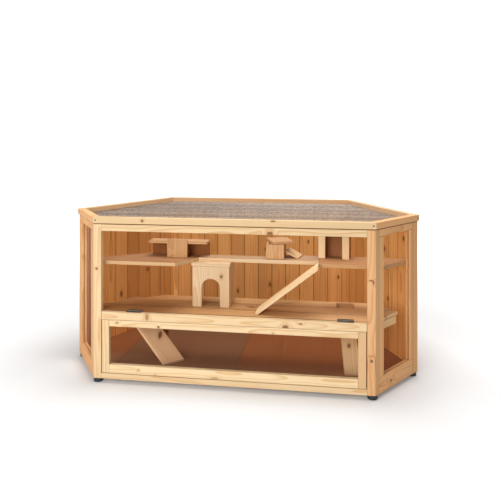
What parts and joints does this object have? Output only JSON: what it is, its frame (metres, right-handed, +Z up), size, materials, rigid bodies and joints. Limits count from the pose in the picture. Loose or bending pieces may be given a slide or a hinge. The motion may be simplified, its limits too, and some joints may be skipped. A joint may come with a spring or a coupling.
{
  "type": "hamster cage",
  "caption": "Hexagonal pine hamster cage with clear panes, a hinged mesh lid, a hinged front flap with a turn-button, and a platform, gallery, ramps and houses inside.",
  "frame": {"origin": "under the middle of the outline, on the floor", "axes": "+X to the right along the front, +Y back from the front face, +Z up"},
  "size_m": [1.3216, 0.7254, 0.5875],
  "materials": {
    "pine": "clear satin oil",
    "wall_boards": "bare planed boards",
    "shelf_pine": "bare planed pine",
    "floor_ply": "bare plywood",
    "clear_pane": "clear gloss",
    "zinc_steel": "zinc plated",
    "mesh_wire": "galvanised",
    "foot_rubber": "matte"
  },
  "bodies": {
    "frame": {"front_left_post": "pine", "front_right_post": "pine", "apex_posts": "pine", "back_posts": "pine", "front_top_rail": "pine", "front_bottom_rail": "pine", "flap_stop_bead": "pine", "side_top_rails": "pine", "side_bottom_rails": "pine", "side_stiles": "pine", "back_top_rails": "pine", "back_bottom_rails": "pine", "back_wall_boards": "wall_boards", "back_left_wall_boards": "wall_boards", "back_right_wall_boards": "wall_boards", "front_pane": "clear_pane", "side_panes": "clear_pane", "floor_panels": "floor_ply", "floor_bearers": "floor_ply", "corner_feet": "foot_rubber", "platform_boards": "shelf_pine", "platform_bearers": "shelf_pine", "platform_legs": "shelf_pine", "gallery_left": "shelf_pine", "gallery_back": "shelf_pine", "gallery_right": "shelf_pine", "gallery_cleats": "shelf_pine", "bridge_ramp": "shelf_pine", "lower_left_ramp": "shelf_pine", "lower_right_ramp": "shelf_pine", "small_ramp": "shelf_pine", "arch_house_front": "pine", "arch_house_sides": "pine", "arch_house_roof": "pine", "hut_walls": "pine", "hut_roof": "pine", "box_house_walls": "pine", "box_house_roof": "pine", "corner_house_front": "pine", "corner_house_walls": "pine", "corner_house_roof": "pine", "flap_hinge_fixed_leaves": "zinc_steel", "lid_hinge_fixed_leaves": "zinc_steel", "hinge_pins": "zinc_steel", "button_screw": "zinc_steel"},
    "lid": {"lid_front_rail": "pine", "lid_back_rail": "pine", "lid_side_rails": "pine", "lid_rear_side_rails": "pine", "lid_mesh": "mesh_wire", "lid_screws": "zinc_steel", "lid_hinge_leaves": "zinc_steel"},
    "flap": {"flap_hinge_rail": "pine", "flap_top_rail": "pine", "flap_bottom_rail": "pine", "flap_stiles": "pine", "flap_pane": "clear_pane", "flap_hinge_leaves": "zinc_steel"},
    "turn_button": {"turn_button": "pine"}
  },
  "joints": [
    {"name": "lid_hinge", "type": "hinge", "parent": "frame", "child": "lid", "pos_m": [0, 0.361, 0.56575], "axis": [-1, 0, 0], "range_deg": [0, 110]},
    {"name": "flap_hinge", "type": "hinge", "parent": "frame", "child": "flap", "pos_m": [0, -0.333, 0.255], "axis": [-1, 0, 0], "range_deg": [0, 90]},
    {"name": "turn_button_pivot", "type": "hinge", "parent": "frame", "child": "turn_button", "pos_m": [0.4765, -0.3559, 0.134], "axis": [0, 1, 0], "range_deg": [0, 90]}
  ]
}
